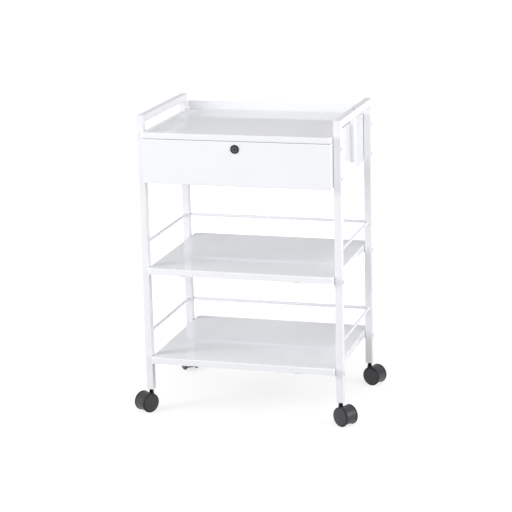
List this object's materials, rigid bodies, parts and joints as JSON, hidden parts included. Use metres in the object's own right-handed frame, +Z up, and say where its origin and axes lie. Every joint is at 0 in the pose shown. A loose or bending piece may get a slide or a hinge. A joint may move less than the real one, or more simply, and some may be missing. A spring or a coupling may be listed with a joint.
{
  "type": "utility trolley",
  "caption": "White steel utility trolley with a top tray, a lockable drawer, open shelves with guard rods, a lamp socket and twin-wheel swivel casters.",
  "frame": {"origin": "on the floor, under the middle of the four posts", "axes": "+Z up, -Y to the front, where the drawer opens, +X to the right seen from the front"},
  "size_m": [0.6399, 0.4563, 0.8385],
  "materials": {
    "white_powder_coat": "semi-gloss white powder coat on steel tube and sheet",
    "white_gloss_coat": "high-gloss white powder coat on sheet steel",
    "nickel_plated_steel": "nickel plated button-head bolts",
    "zinc_plated_steel": "bright zinc plate",
    "blackened_steel": "black zinc plated caster stem",
    "black_plastic": "moulded black polyethylene",
    "lock_black": "black painted zinc casting",
    "lock_grey": "dark grey key plug",
    "white_nylon": "natural nylon rollers",
    "caster_grey_nylon": "moulded charcoal grey nylon",
    "axle_steel": "drawn steel axle"
  },
  "bodies": {
    "root": {"left_front_post": "white_powder_coat", "left_rear_post": "white_powder_coat", "left_top_rail": "white_powder_coat", "right_front_post": "white_powder_coat", "right_rear_post": "white_powder_coat", "right_top_rail": "white_powder_coat", "upper_left_rod": "white_powder_coat", "upper_right_rod": "white_powder_coat", "upper_back_rod": "white_powder_coat", "lower_left_rod": "white_powder_coat", "lower_right_rod": "white_powder_coat", "lower_back_rod": "white_powder_coat", "upper_shelf_channels": "white_powder_coat", "lower_shelf_channels": "white_powder_coat", "lock_catch": "white_powder_coat", "cabinet_runner_left": "white_powder_coat", "cabinet_runner_right": "white_powder_coat", "lamp_socket": "white_powder_coat", "cabinet_left_side": "white_powder_coat", "cabinet_right_side": "white_powder_coat", "cabinet_back_panel": "white_powder_coat", "upper_shelf": "white_gloss_coat", "lower_shelf": "white_gloss_coat", "top_tray": "white_gloss_coat", "frame_bolts": "nickel_plated_steel", "frame_nuts": "zinc_plated_steel", "cabinet_roller_pins": "zinc_plated_steel", "caster_stems": "blackened_steel", "frame_washers": "black_plastic", "post_inserts": "black_plastic"},
    "drawer": {"drawer_front": "white_gloss_coat", "drawer_box": "white_powder_coat", "drawer_screws": "zinc_plated_steel", "drawer_runner_left": "white_powder_coat", "drawer_runner_right": "white_powder_coat", "drawer_roller_pins": "zinc_plated_steel", "lock_body": "lock_black", "lock_nut": "zinc_plated_steel"},
    "key_plug": {"lock_plug": "lock_grey", "lock_cam": "zinc_plated_steel"},
    "cabinet_roller_left": {"cabinet_roller_left": "white_nylon"},
    "drawer_roller_left": {"drawer_roller_left": "white_nylon"},
    "cabinet_roller_right": {"cabinet_roller_right": "white_nylon"},
    "drawer_roller_right": {"drawer_roller_right": "white_nylon"},
    "caster_front_left": {"caster_hood_front_left": "caster_grey_nylon", "caster_axle_front_left": "axle_steel"},
    "wheel_front_left_left": {"caster_wheel_front_left_left": "caster_grey_nylon"},
    "wheel_front_left_right": {"caster_wheel_front_left_right": "caster_grey_nylon"},
    "caster_front_right": {"caster_hood_front_right": "caster_grey_nylon", "caster_axle_front_right": "axle_steel"},
    "wheel_front_right_left": {"caster_wheel_front_right_left": "caster_grey_nylon"},
    "wheel_front_right_right": {"caster_wheel_front_right_right": "caster_grey_nylon"},
    "caster_rear_left": {"caster_hood_rear_left": "caster_grey_nylon", "caster_axle_rear_left": "axle_steel"},
    "wheel_rear_left_left": {"caster_wheel_rear_left_left": "caster_grey_nylon"},
    "wheel_rear_left_right": {"caster_wheel_rear_left_right": "caster_grey_nylon"},
    "caster_rear_right": {"caster_hood_rear_right": "caster_grey_nylon", "caster_axle_rear_right": "axle_steel"},
    "wheel_rear_right_left": {"caster_wheel_rear_right_left": "caster_grey_nylon"},
    "wheel_rear_right_right": {"caster_wheel_rear_right_right": "caster_grey_nylon"}
  },
  "joints": [
    {"name": "drawer_slide", "type": "slide", "parent": "root", "child": "drawer", "axis": [0, -1, 0], "range_m": [0, 0.265]},
    {"name": "lock_turn", "type": "hinge", "parent": "drawer", "child": "key_plug", "pos_m": [0, -0.1903, 0.7589], "axis": [0, 1, 0], "range_deg": [0, 90]},
    {"name": "cabinet_roller_left_turn", "type": "hinge", "parent": "root", "child": "cabinet_roller_left", "pos_m": [-0.2555, -0.169, 0.7039], "axis": [1, 0, 0], "continuous": true},
    {"name": "drawer_roller_left_turn", "type": "hinge", "parent": "drawer", "child": "drawer_roller_left", "pos_m": [-0.2555, 0.133, 0.7039], "axis": [1, 0, 0], "continuous": true},
    {"name": "cabinet_roller_right_turn", "type": "hinge", "parent": "root", "child": "cabinet_roller_right", "pos_m": [0.2555, -0.169, 0.7039], "axis": [1, 0, 0], "continuous": true},
    {"name": "drawer_roller_right_turn", "type": "hinge", "parent": "drawer", "child": "drawer_roller_right", "pos_m": [0.2555, 0.133, 0.7039], "axis": [1, 0, 0], "continuous": true},
    {"name": "caster_swivel_front_left", "type": "hinge", "parent": "root", "child": "caster_front_left", "pos_m": [-0.273, -0.18, 0.0515], "axis": [0, 0, 1], "continuous": true},
    {"name": "wheel_spin_front_left_left", "type": "hinge", "parent": "caster_front_left", "child": "wheel_front_left_left", "pos_m": [-0.29291, -0.18846, 0.0275], "axis": [0.8358, -0.549, 0], "continuous": true},
    {"name": "wheel_spin_front_left_right", "type": "hinge", "parent": "caster_front_left", "child": "wheel_front_left_right", "pos_m": [-0.27285, -0.20163, 0.0275], "axis": [0.8358, -0.549, 0], "continuous": true},
    {"name": "caster_swivel_front_right", "type": "hinge", "parent": "root", "child": "caster_front_right", "pos_m": [0.273, -0.18, 0.0515], "axis": [0, 0, 1], "continuous": true},
    {"name": "wheel_spin_front_right_left", "type": "hinge", "parent": "caster_front_right", "child": "wheel_front_right_left", "pos_m": [0.2818, -0.19976, 0.0275], "axis": [0.5344, 0.8453, 0], "continuous": true},
    {"name": "wheel_spin_front_right_right", "type": "hinge", "parent": "caster_front_right", "child": "wheel_front_right_right", "pos_m": [0.29463, -0.17948, 0.0275], "axis": [0.5344, 0.8453, 0], "continuous": true},
    {"name": "caster_swivel_rear_left", "type": "hinge", "parent": "root", "child": "caster_rear_left", "pos_m": [-0.273, 0.18, 0.0515], "axis": [0, 0, 1], "continuous": true},
    {"name": "wheel_spin_rear_left_left", "type": "hinge", "parent": "caster_rear_left", "child": "wheel_rear_left_left", "pos_m": [-0.27538, 0.2015, 0.0275], "axis": [-0.766, -0.6428, 0], "continuous": true},
    {"name": "wheel_spin_rear_left_right", "type": "hinge", "parent": "caster_rear_left", "child": "wheel_rear_left_right", "pos_m": [-0.29376, 0.18608, 0.0275], "axis": [-0.766, -0.6428, 0], "continuous": true},
    {"name": "caster_swivel_rear_right", "type": "hinge", "parent": "root", "child": "caster_rear_right", "pos_m": [0.273, 0.18, 0.0515], "axis": [0, 0, 1], "continuous": true},
    {"name": "wheel_spin_rear_right_left", "type": "hinge", "parent": "caster_rear_right", "child": "wheel_rear_right_left", "pos_m": [0.28523, 0.16215, 0.0275], "axis": [0.373, 0.9278, 0], "continuous": true},
    {"name": "wheel_spin_rear_right_right", "type": "hinge", "parent": "caster_rear_right", "child": "wheel_rear_right_right", "pos_m": [0.29418, 0.18442, 0.0275], "axis": [0.373, 0.9278, 0], "continuous": true}
  ],
  "couplings": [
    {"joint": "cabinet_roller_left_turn", "follows": "drawer_slide", "rad_per_m": 100},
    {"joint": "drawer_roller_left_turn", "follows": "drawer_slide", "rad_per_m": 100},
    {"joint": "cabinet_roller_right_turn", "follows": "drawer_slide", "rad_per_m": 100},
    {"joint": "drawer_roller_right_turn", "follows": "drawer_slide", "rad_per_m": 100}
  ]
}
